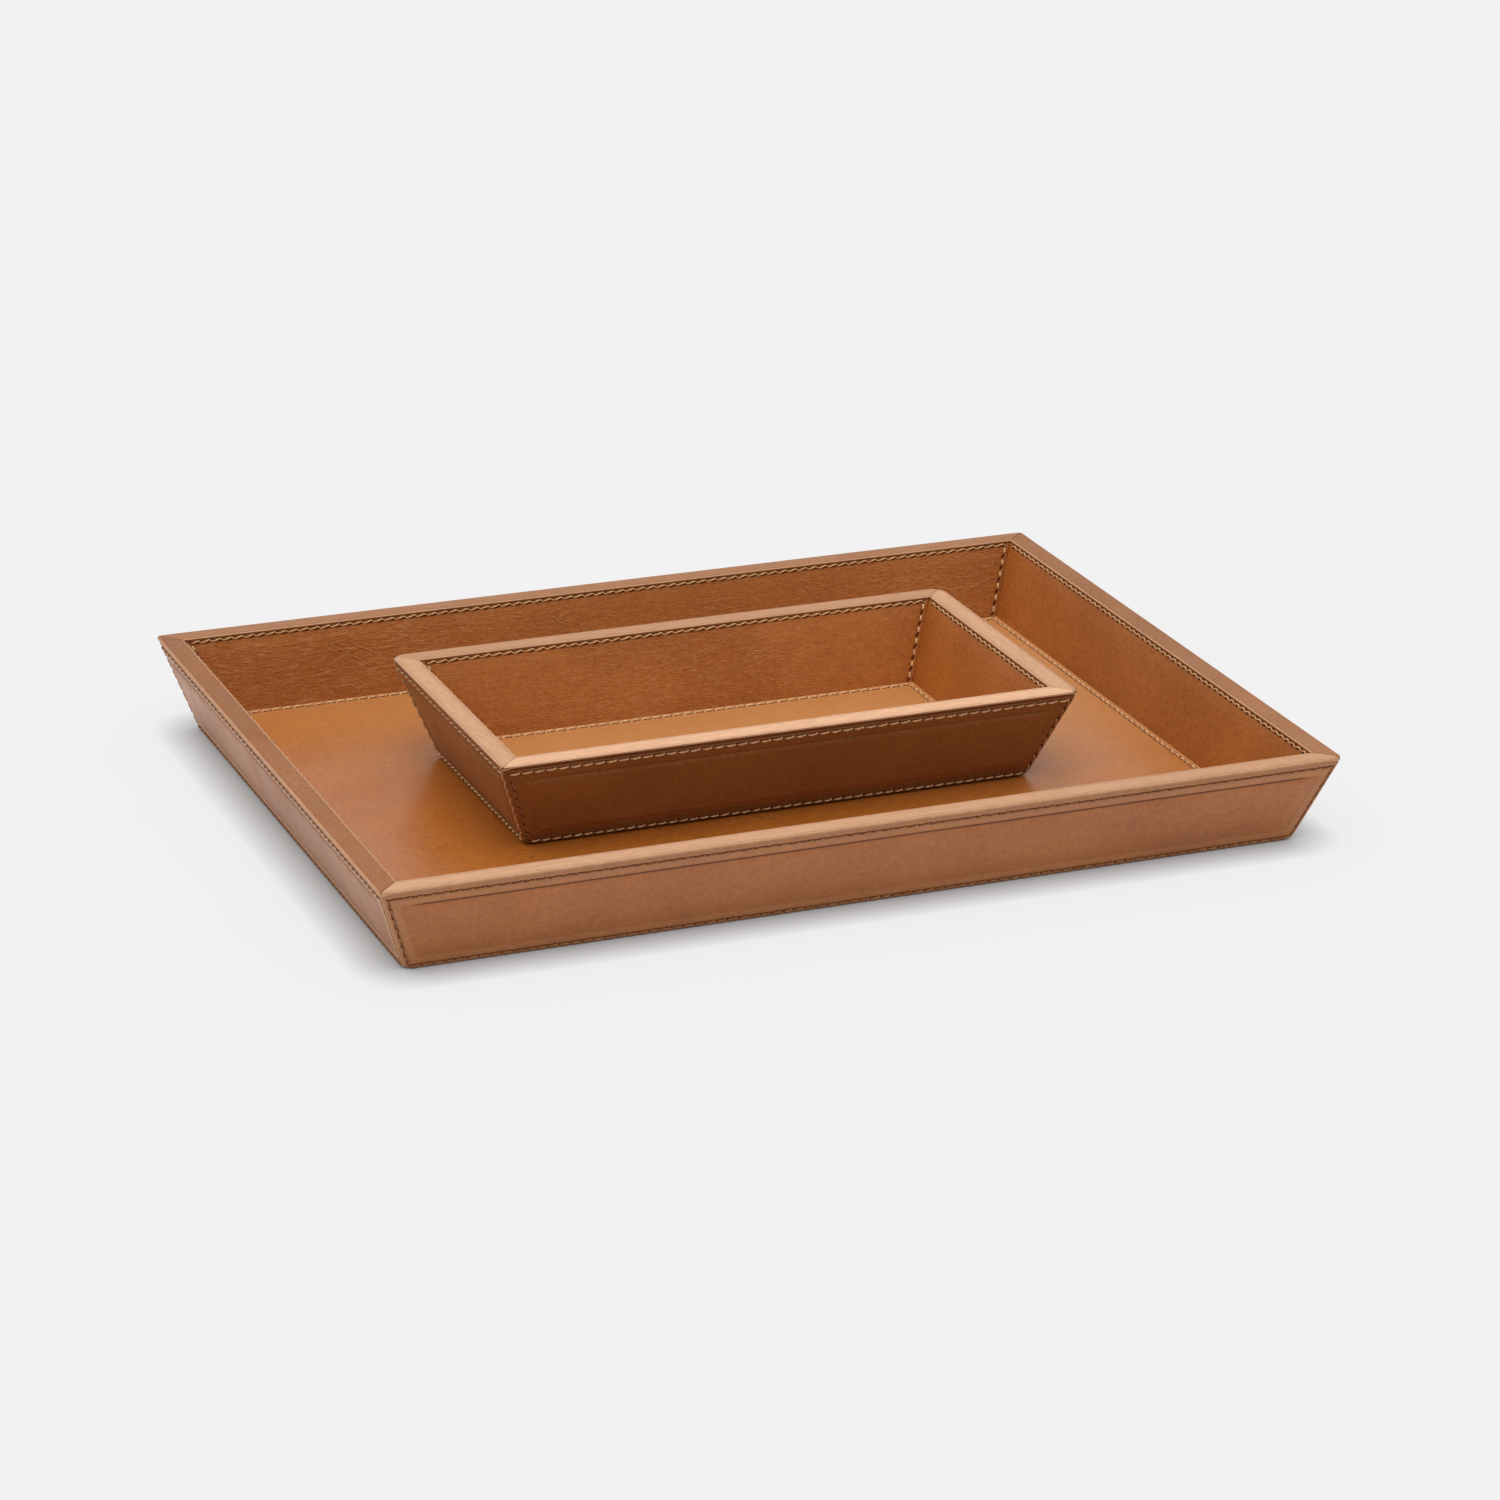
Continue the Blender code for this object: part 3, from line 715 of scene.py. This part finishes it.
def makeLining(tray, side, shift):
    look = liningSettings
    wall = f"{tray['name']}_{side}"
    margin = look["margin"]
    low = tray["liningLow"] / tray["cosLean"]
    # Drawn up as if its top row had the common margin, and taken in again above that row
    drawnUp = margin - look["topMargin"]
    height = (tray["rimHigh"] - look["stripEdge"]) / tray["cosLean"] - low + drawnUp
    thickness = tray["rimWidth"] - tray["liningBackDepth"]
    butts = side in ("front", "back")
    slack, wrinkle, finer, tall = look["wrinkles"].get(wall, look["otherWrinkles"])
    creases = [[Vector(end) * mm for end in ends] for ends in look["creases"].get(wall, [])]

    def halfAt(level):
        return tray["foot"][nextSide[side]] + tray["slope"] * level - tray["rimWidth"] - glueLine

    columns = round(2 * (halfAt(tray["rimLow"]) - margin) / seamPitch)
    rows = round((height - 2 * margin) / seamPitch)
    insets = look["insets"] if butts else look["insets"] + [-thickness]    # the short linings run on behind
    backs = [(insets[-1], 0.5), (insets[-1], 1)]

    def place(a, b, inset, back):
        a, b = bunched(a, columns), bunched(b, rows)
        climb = height / 2 + spread(b, height / 2, margin, max(inset, 0), rows)
        fromTop = (height - climb) - drawnUp * min(1, (height - climb) / margin)
        level = (low + height - drawnUp - fromTop) * tray["cosLean"]
        half = halfAt(level)
        along = spread(a, half, margin, inset, columns)
        fromFoot, fromEnd = climb, half - abs(along)
        depth = tray["rimWidth"] - back * thickness
        fromRow = fromTop - look["topMargin"]
        seamHalf, seamHeight = half - margin, height - 2 * margin
        # Seen from inside the tray the row runs the other way
        stitchesOn = (seamHalf - along) / seamHalf * columns / 2
        stitchesUp = (climb - margin) / seamHeight * rows
        marks = {
            "sheet": onSheet(along, climb, shift),
            "rowSeam": onSeam(stitchesOn, columns, max(0.5, 1 - fromRow / seamHeight), seamHeight),
            "endSeam": onSeam(stitchesUp, rows, stitchesOn / columns, 2 * seamHalf) if butts else noSeam,
            "slack": slack,
        }
        if back:
            return onWall(tray, side, along, level, depth)[0], {**marks, "wearAndSheen": 0.6, "shade": 0.3}
        bulge = look["swell"] * smooth((fromTop - mm) / (7 * mm)) * smooth((fromFoot + 2 * mm) / (9 * mm))
        bulge -= dropAt(fromTop, look["edgeRound"]) + dropAt(fromFoot, look["edgeRound"])
        if butts:
            bulge *= smooth((fromEnd + 3 * mm) / (6 * mm))
            bulge -= dropAt(fromEnd, look["edgeRound"])
        fromHoleOn = offHole(along, seamHalf, columns)
        fromHoleUp = offHole(climb - height / 2, seamHeight / 2, rows)
        onRow = fromTop < 5 * mm and fromEnd > margin - rowEnd
        onEnd = butts and fromEnd < 5 * mm and fromRow > -rowEnd
        pull, dark = seamRelief(look, (fromRow, fromHoleOn, onRow), (fromEnd - margin, fromHoleUp, onEnd))
        bulge -= pull
        calm = smooth((min(fromTop, fromEnd) - 1.5 * mm) / (2.5 * mm))
        ridge = wrinkled(along, climb, shift) * calm
        wander = Vector((1, 1)) * 1.6 * mm * waves((along, climb), shift, 6 * mm)
        off = min([offLine(Vector((along, climb)) + wander, *ends) for ends in creases], default=margin)
        ridge = max(ridge, hill(off, 0.4 * mm))
        crease = hill(off - 0.8 * mm, 0.4 * mm)
        bulge += wrinkle * (ridge - crease)
        wave = look["waviness"] * waves((along, climb), shift, look["waveSize"])
        bulge += wave * smooth(min(fromTop, fromEnd) / (6 * mm))
        # Painted shade in the creases and under the rim strip, above the top row
        shade = max(0.12 * crease, 0.45 * hill(fromTop, 0.5 * mm), dark)
        # Painted highlight along the ridges of the wrinkles
        wearAndSheen = 0.9 * ridge * wrinkle / mm if finer > 3 else 0
        return onWall(tray, side, along, level, depth, -bulge)[0], {**marks, "wearAndSheen": wearAndSheen, "shade": shade}

    bm = makeRings((columns, rows), finer, insets, backs, tall)
    addSheet(bm, place, tray, f"{side}_sewn_lining", f"{side}_lining",
             leathers["liningLeather"])

    def seamPoint(a, b):
        climb = height / 2 + b * (height / 2 - margin)
        level = (low + climb) * tray["cosLean"]
        point, normal = onWall(tray, side, a * (halfAt(level) - margin), level, tray["rimWidth"])
        return point, -normal

    seams = [[seamPoint(1 - 2 * k / columns, 1) for k in range(columns + 1)]]
    if butts:
        seams += [[seamPoint(a, 2 * k / rows - 1) for k in range(rows + 1)] for a in (1, -1)]
    return seams


# Floors

floorSettings = {
    "margin": 3.1 * mm,
    "edgeRound": 0.5 * mm,
    "hump": 0.16 * mm,
    "holeDepth": 0.5 * mm,
    "holeRadius": 0.5 * mm,
    "gutterDepth": 0.2 * mm,
    "gutterWidth": 0.8 * mm,
    "gutterShade": 0.2,
    "waviness": 0.1 * mm,
    "waveSize": 45 * mm,
    "insets": inMm(7.4, 5.8, 4.7, 4.1, 3.7, 3.4, 3.1, 2.8, 2.5, 2.0, 1.4, 0.9, 0.5, 0.25, 0.1, 0),
    # How pale the leather is, and how much painted sheen makes it paler towards the back and the right
    "toneAndSheen": {"large": (0, 0.55), "small": (0.44, 0.06)},
}


def makeFloor(tray, shift):
    look = floorSettings
    margin = look["margin"]
    halfX, halfY = tray["floorReach"]["right"], tray["floorReach"]["front"]
    thickness = tray["floorTop"] - tray["floorLow"]
    columns = round(2 * (halfX - margin) / seamPitch)
    rows = round(2 * (halfY - margin) / seamPitch)

    def place(a, b, inset, back):
        a, b = bunched(a, columns), bunched(b, rows)
        x = spread(a, halfX, margin, inset, columns)
        y = spread(b, halfY, margin, inset, rows)
        level = tray["seat"] + tray["floorTop"]
        seamX, seamY = halfX - margin, halfY - margin
        stitchesOn = (x + seamX) / seamX * columns / 2
        stitchesUp = (y + seamY) / seamY * rows / 2
        marks = {
            "sheet": onSheet(x, y, shift),
            "rowSeam": onSeam(stitchesOn, columns, stitchesUp / rows, 2 * seamY),
            "endSeam": onSeam(stitchesUp, rows, stitchesOn / columns, 2 * seamX),
            "slack": 0,
        }
        if back:
            lean = tray["slope"] * back * thickness
            x -= copysign(lean, x)
            y -= copysign(lean, y)
            return Vector((x, y, level - back * thickness)), {**marks, "wearAndSheen": 0.6, "shade": 0.3}
        fromX, fromY = halfX - abs(x), halfY - abs(y)
        nearest = min(fromX, fromY)
        lift = -dropAt(nearest, look["edgeRound"])
        lift -= look["hump"] * smooth((nearest - 0.5 * margin) / (4 * mm))
        onRow = max(inset, fromY) < 6 * mm and fromX > margin - rowEnd
        onEnd = max(inset, fromX) < 6 * mm and fromY > margin - rowEnd
        pull, dark = seamRelief(look, (fromY - margin, offHole(x, seamX, columns), onRow),
                                (fromX - margin, offHole(y, seamY, rows), onEnd))
        lift -= pull
        lift += look["waviness"] * waves((x, y), shift, look["waveSize"]) * smooth(nearest / (9 * mm))
        toneAndSheen, fade = look["toneAndSheen"][tray["name"]]
        toneAndSheen += fade * smooth(0.3 + 0.4 * x / halfX + 0.6 * y / halfY)
        # Painted highlight along the raised edge by the walls
        wearAndSheen = max(toneAndSheen, 0.75 * hill(nearest - 0.6 * mm, 0.9 * mm))
        return Vector((x, y, level + lift)), {**marks, "wearAndSheen": wearAndSheen, "shade": dark}

    bm = makeRings((columns, rows), 1, look["insets"], [(0, 0.6), (0, 1)])
    addSheet(bm, place, tray, "sewn_floor", "floor_leather", leathers["floorLeather"])

    def seamPoint(a, b):
        level = tray["seat"] + tray["floorTop"]
        return Vector((a * (halfX - margin), b * (halfY - margin), level)), up

    return sewnRows(seamPoint, columns, rows)


# Rim strips

rimSettings = {
    "cell": 5 * mm,
    "outerRound": 0.7 * mm,
    "cornerRound": 1.5 * mm,
    "innerRound": 0.3 * mm,
    "mitreRound": 0.16 * mm,
    "mitreGap": 0.04 * mm,
    "crown": 0.08 * mm,
    "waviness": 0.12 * mm,
    "waveSize": 28 * mm,
    "pinInset": 1.25 * mm,      # dark points along each cut edge
    "pinPitch": 12.5 * mm,
    "insets": inMm(2.0, 1.4, 1.0, 0.75, 0.55, 0.36, 0.2, 0.08, 0),
    # Corner radii in plan, of the corner at each side's far end
    "corners": {
        "large": {"front": 4 * mm, "right": 1.6 * mm, "back": 3 * mm, "left": 2 * mm},
        "small": {"front": 4.5 * mm, "right": 5.5 * mm, "back": 5 * mm, "left": 2 * mm},
    },
    # Painted sheen: how pale each strip is at its near and far end
    "sheenTones": {
        "large": {"front": (0.68, 0.52), "right": (0.08, -0.02), "back": (0.12, 0.12), "left": (0, 0)},
        "small": {"front": (0.95, 1), "right": (0.64, 0.64), "back": (0.42, 0.42), "left": (0.64, 0.64)},
    },
    # Painted light and painted shade: how pale and how dark its outer face is
    "faces": {"large": (0.3, 0), "small": (0, 0.6)},
    # The strip is skived along its inner edge, where the lining comes up under it
    "backs": [(0, 0.12), (0, 0.34), (2.1 * mm, 0.36), (2.7 * mm, 1)],
}


def makeRim(tray, side, shift):
    look = rimSettings
    out, onward = sides[side]
    width = tray["rimWidth"]
    top = tray["rimHigh"]
    thickness = top - tray["rimLow"]
    corners = look["corners"][tray["name"]]
    near, far = look["sheenTones"][tray["name"]][side]
    before = [other for other in sides if nextSide[other] == side][0]
    radii = {1: corners[side], -1: corners[before]}
    columns = round(2 * (tray["foot"][nextSide[side]] + tray["slope"] * top) / look["cell"])

    def place(a, b, inset, back):
        level = top - thickness * max(back, 0)
        full = tray["foot"][nextSide[side]] + tray["slope"] * level
        reach = tray["foot"][side] + tray["slope"] * level
        mid = full - width / 2
        hand = copysign(1, a)
        radius = radii[hand]
        share = a * (1 - (0 if back else inset) / mid)
        inner = b < 0
        across = width / 2 - b * (width / 2 - (inset if inner or not back else 0))
        # The outer line bends round the corner, the inner one runs straight to the mitre
        arcHalf = full - radius * (1 - pi / 4) - look["mitreGap"]
        run = abs(share) * arcHalf
        straight = full - radius
        turn = min(max(run - straight, 0) / radius, pi / 4)
        towards = out * cos(turn) + onward * hand * sin(turn)
        outer = out * (reach - radius) + onward * hand * min(run, straight) + towards * radius
        innerEdge = out * (reach - width) + onward * share * (full - width - look["mitreGap"])
        point = outer.lerp(innerEdge, across / width)
        fromMitre = (1 - abs(share)) * mid
        edge = min(across, width - across)
        fall = 0
        if not back:
            atCorner = hill(fromMitre, 3 * mm)
            outerRound = look["outerRound"] + (look["cornerRound"] - look["outerRound"]) * atCorner
            fall = dropAt(across, outerRound) + dropAt(width - across, look["innerRound"])
            fall += dropAt(fromMitre, look["mitreRound"])
            fall -= look["crown"] * (1 - (2 * across / width - 1) ** 2)
            wave = look["waviness"] * waves((share * full, across), shift, look["waveSize"])
            fall -= wave * smooth(edge / (2 * mm))
            fall += look["crown"] * 0.5
        point = point + up * (tray["seat"] + level - fall)
        # Each cut edge is burnished pale with a painted highlight along it, and a thin, tanner band of
        # painted shade inside it where the edge turns down
        shadedBand = hill(edge - 1.1 * mm, 0.45 * mm)
        toneAndSheen = near + (far - near) * (share + 1) / 2
        burnishAndHighlight = max(0.85 * hill(across, 0.5 * mm), 0.75 * hill(width - across, 0.45 * mm))
        wearAndSheen = max(toneAndSheen * (1 - 0.3 * shadedBand), burnishAndHighlight)
        shade = 0.22 * hill(fromMitre, 0.3 * mm) + 0.06 * shadedBand
        # Painted shade on the strip's inner face under its edge; the outer face takes the painted light and
        # shade given for it
        if back:
            wearAndSheen, shade = (0, 0.5) if inner else look["faces"][tray["name"]]
        apart = width - 2 * look["pinInset"]
        marks = {
            "sheet": onSheet(share * full, across, shift),
            "rowSeam": (share * full / look["pinPitch"], (across - look["pinInset"]) / apart, apart),
            "slack": 0.3,
            "wearAndSheen": wearAndSheen,
            "shade": shade,
        }
        return point, marks

    bm = makeRings((columns, 2), 2, look["insets"], look["backs"])
    addSheet(bm, place, tray, f"{side}_rim_edging", f"{side}_rim_strip",
             leathers["rimLeather"])


# Stitches of waxed thread. Each kind gives one stitch, from one hole to the next.

stitchSettings = {
    "sides": 5,
    "twist": 2.2,          # half turns of the thread's lay along a stitch
    "tilt": 5,             # degrees that it may lie askew
    "wobble": 0.05 * mm,
    "seed": 1,             # how the stitches lie askew, the same in every run; 0 would follow the clock
    "oval": 0.18,
    "cuts": 6,
    "sink": 0.6 * mm,
    "slant": 0.34 * mm,    # how far off the row each end lies
    "aside": 0,
    "turn": 1,             # share of the way at which a stitch comes back
    "kinds": {
        "sunk": {"radius": 0.32 * mm, "proud": -0.08 * mm, "sink": 0.3 * mm, "slant": 0.36 * mm,
                 "aside": -0.3 * mm, "reach": 0.96},
        "bar": {"radius": 0.46 * mm, "proud": 0.26 * mm, "reach": 0.9},
        "fine": {"radius": 0.34 * mm, "proud": 0.22 * mm, "reach": 0.8},
        "zigzag": {"radius": 0.36 * mm, "proud": 0.32 * mm, "sink": 0.1 * mm, "slant": 0.46 * mm,
                   "reach": 1, "turn": 0.4, "cuts": 9},
        "dot": {"radius": 0.5 * mm, "proud": 0.36 * mm, "slant": 0.22 * mm, "reach": 0.54},
    },
}


def makeStitch(kind):
    look = {**stitchSettings, **stitchSettings["kinds"][kind]}
    turn, oval = look["turn"], look["oval"]
    bm = bmesh.new()
    bmesh.ops.create_cone(bm, cap_ends=True, segments=look["sides"], radius1=1, radius2=1, depth=1)
    lengthwise = [edge for edge in bm.edges if abs(edge.verts[0].co.z - edge.verts[1].co.z) > 0.5]
    bmesh.ops.subdivide_edges(bm, edges=lengthwise, cuts=look["cuts"])
    for vert in bm.verts:
        along = 2 * vert.co.z      # -1 to 1
        end = abs(along) ** 4
        if along <= turn:
            aside = 2 * (along + 1) / (turn + 1) - 1
        else:
            aside = 1 - 2 * (along - turn) / (1 - turn)
        lay = Matrix.Rotation(along * look["twist"] * pi / 2, 2)
        section = lay @ Vector((vert.co.x * (1 + oval), vert.co.y * (1 - oval)))
        section *= look["radius"] * (1 - 0.2 * end)
        height = look["proud"] - (look["proud"] + look["sink"]) * end
        if turn < 1:
            height -= 0.2 * mm * hill(along - turn, 0.14)
        vert.co = Vector((
            along * seamPitch / 2 * look["reach"],
            look["aside"] + aside * look["slant"] + section.x,
            height + section.y,
        ))
    bmesh.ops.recalc_face_normals(bm, faces=bm.faces)
    mesh = bpy.data.meshes.new(f"{kind}_stitch")
    bm.to_mesh(mesh)
    bm.free()
    return mesh


stitches = {kind: makeStitch(kind) for kind in stitchSettings["kinds"]}
noise.seed_set(stitchSettings["seed"])


def sew(tray, place, seams, rows, finish):
    # Each row has its kind of stitch, and how much painted shade darkens its thread
    bm = bmesh.new()
    paintedShade = bm.verts.layers.float.new("paintedShade")
    for seam, (kind, rowShade) in zip(seams, rows):
        for (start, startNormal), (end, endNormal) in zip(seam, seam[1:]):
            middle = (start + end) / 2
            onward = (end - start).normalized()
            outward = (startNormal + endNormal).normalized()
            aside = outward.cross(onward)
            size = (end - start).length / seamPitch
            bm.verts.ensure_lookup_table()
            first = len(bm.verts)
            bm.from_mesh(stitches[kind])
            bm.verts.ensure_lookup_table()
            wobble = noise.noise_vector(middle * 900)
            turn = Matrix((onward * size, aside, outward)).transposed()
            tilt = Matrix.Rotation(radians(stitchSettings["tilt"]) * wobble.x, 3, "Z")
            for vert in bm.verts[first:]:
                vert[paintedShade] = rowShade
                vert.co = middle + turn @ (tilt @ vert.co) + outward * wobble.y * stitchSettings["wobble"]
    addPiece(bm, tray, f"{place}_stitches", f"{place}_thread", finish)


# A panel's rows are those along its top and its foot and up its two ends, each with the painted shade on its
# thread
outerSewing = {
    "large": [("sunk", 0), ("bar", 0), ("sunk", 0), ("sunk", 0)],
    "small": [("bar", 0.1), ("fine", 0.2), ("bar", 0.2), ("bar", 0.2)],
}
unlikeOthers = {
    "large_left": [("bar", 0.1), ("bar", 0.3), ("sunk", 0), ("sunk", 0)],
    "small_left": [("bar", 0.1), ("bar", 0), ("bar", 0.2), ("bar", 0.2)],
    "small_front": [("bar", 0.1), ("fine", 0.1), ("fine", 0.6), ("sunk", 0.8)],
}
liningSewing = [("zigzag", 0.25), ("dot", 0), ("dot", 0)]
floorSewing = [("bar", 0), ("bar", 0), ("dot", 0), ("dot", 0)]
outerThreads = {"large": threads["tanThread"], "small": threads["beigeThread"]}

shift = 0
for tray in trays.values():
    name = tray["name"]
    for side in sides:
        shift += 1
        seams = makePanel(tray, side, shift)
        rows = unlikeOthers.get(f"{name}_{side}", outerSewing[name])
        sew(tray, f"{side}_panel", seams, rows, outerThreads[name])
        seams = makeLining(tray, side, shift + 0.25)
        sew(tray, f"{side}_lining", seams, liningSewing, threads["goldThread"])
        makeRim(tray, side, shift + 0.5)
        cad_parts[f"{name}_{side}_board"].material_slots[0].material = fibreBoard
    seams = makeFloor(tray, shift + 0.75)
    sew(tray, "floor", seams, floorSewing, threads["beigeThread"])
    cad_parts[f"{name}_base_board"].material_slots[0].material = fibreBoard
    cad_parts[f"{name}_underside_leather"].material_slots[0].material = fleshSide
    print(name, "tray made")
for mesh in stitches.values():
    bpy.data.meshes.remove(mesh)


# Table top, lights and camera

stageSettings = {
    "size": 14.0,
    "pale": (242, 242, 242),
    "ownLight": 0.8,        # share of the table's colour that only what stands close can darken
    "contact": 20 * mm,     # how close
    "bounce": (0.8, 0.8, 0.8, 1),    # the table's colour in the light that it throws back
    "skyLow": 0.36,         # level of the soft light from the sides and from above
    "skyHigh": 0.80,
    "sun": 1.1,
    "sunFrom": (-0.18, -0.12, 1.0),
    "sunWidth": 56,
}


def paleFactor(tree):
    # 1 for what the camera sees, straight or in a gloss, and 0 for the light that the objects get
    path = addNode(tree, "ShaderNodeLightPath")
    seen = path["Is Camera Ray"]
    for name in ("Is Glossy Ray", "Is Transmission Ray"):
        seen = compute(tree, "MAXIMUM", seen, path[name])
    return seen


def makeTable():
    look = stageSettings
    bm = bmesh.new()
    bmesh.ops.create_grid(bm, x_segments=1, y_segments=1, size=look["size"] / 2)
    made, tree, shader = newMaterial("paleTable")
    tree.nodes.remove(shader)
    pale = linear(look["pale"])
    # Painted contact shadow: the table's glow darkens where the trays stand close
    near = addNode(tree, "ShaderNodeAmbientOcclusion", {"Distance": look["contact"]}, samples=12)
    near = compute(tree, "MULTIPLY", near["AO"], look["ownLight"])
    glow = addNode(tree, "ShaderNodeEmission", {"Color": pale, "Strength": near})[0]
    lit = [part * (1 - look["ownLight"]) for part in pale[:3]]
    lit = addNode(tree, "ShaderNodeBsdfDiffuse", {"Color": (*lit, 1)})[0]
    seen = addNode(tree, "ShaderNodeAddShader", {0: glow, 1: lit})[0]
    bounce = addNode(tree, "ShaderNodeBsdfDiffuse", {"Color": look["bounce"]})[0]
    surface = addNode(tree, "ShaderNodeMixShader", {0: paleFactor(tree), 1: bounce, 2: seen})[0]
    tree.links.new(surface, tree.nodes["Material Output"].inputs["Surface"])
    addObject(bm, "table_top", made)


def makeLight():
    look = stageSettings
    world = bpy.data.worlds.new("studio")
    bpy.context.scene.world = world
    world.use_nodes = True
    tree = world.node_tree
    tree.nodes.clear()
    towards = addNode(tree, "ShaderNodeTexCoord")["Generated"]
    height = addNode(tree, "ShaderNodeSeparateXYZ", {0: towards})["Z"]
    level = remap(tree, height, 0, 1, look["skyLow"], look["skyHigh"])
    light = addNode(tree, "ShaderNodeBackground", {"Color": (1, 1, 1, 1), "Strength": level})[0]
    seen = addNode(tree, "ShaderNodeBackground", {"Color": linear(look["pale"]), "Strength": 1})[0]
    surface = addNode(tree, "ShaderNodeMixShader", {0: paleFactor(tree), 1: light, 2: seen})[0]
    addNode(tree, "ShaderNodeOutputWorld", {"Surface": surface})
    lamp = bpy.data.lights.new("softbox", "SUN")
    lamp.energy = look["sun"]
    lamp.angle = radians(look["sunWidth"])
    softbox = bpy.data.objects.new("softbox", lamp)
    softbox.rotation_euler = Vector(look["sunFrom"]).to_track_quat("Z", "Y").to_euler()
    bpy.context.scene.collection.objects.link(softbox)


cameraSettings = {
    "lens": 117.95,
    "azimuth": -22.381,
    "elevation": 20.92,
    "roll": 0.7085,
    "distance": 2.2134,
    "target": (0.0224, 0.0332, 0),
}


def makeCamera():
    look = cameraSettings
    azimuth, elevation, roll = (radians(look[key]) for key in ("azimuth", "elevation", "roll"))
    back = Vector((sin(azimuth) * cos(elevation), -cos(azimuth) * cos(elevation), sin(elevation)))
    right = Vector((cos(azimuth), sin(azimuth), 0))
    above = back.cross(right)
    turned = (right * cos(roll) + above * sin(roll), above * cos(roll) - right * sin(roll), back)
    data = bpy.data.cameras.new("camera")
    data.lens = look["lens"]
    data.clip_start = 0.1
    data.clip_end = 50
    camera = bpy.data.objects.new("camera", data)
    place = Matrix.Translation(Vector(look["target"]) + back * look["distance"])
    camera.matrix_world = place @ Matrix(turned).transposed().to_4x4()
    bpy.context.scene.collection.objects.link(camera)
    bpy.context.scene.camera = camera


makeTable()
makeLight()
makeCamera()
bpy.context.scene.view_settings.view_transform = "Standard"
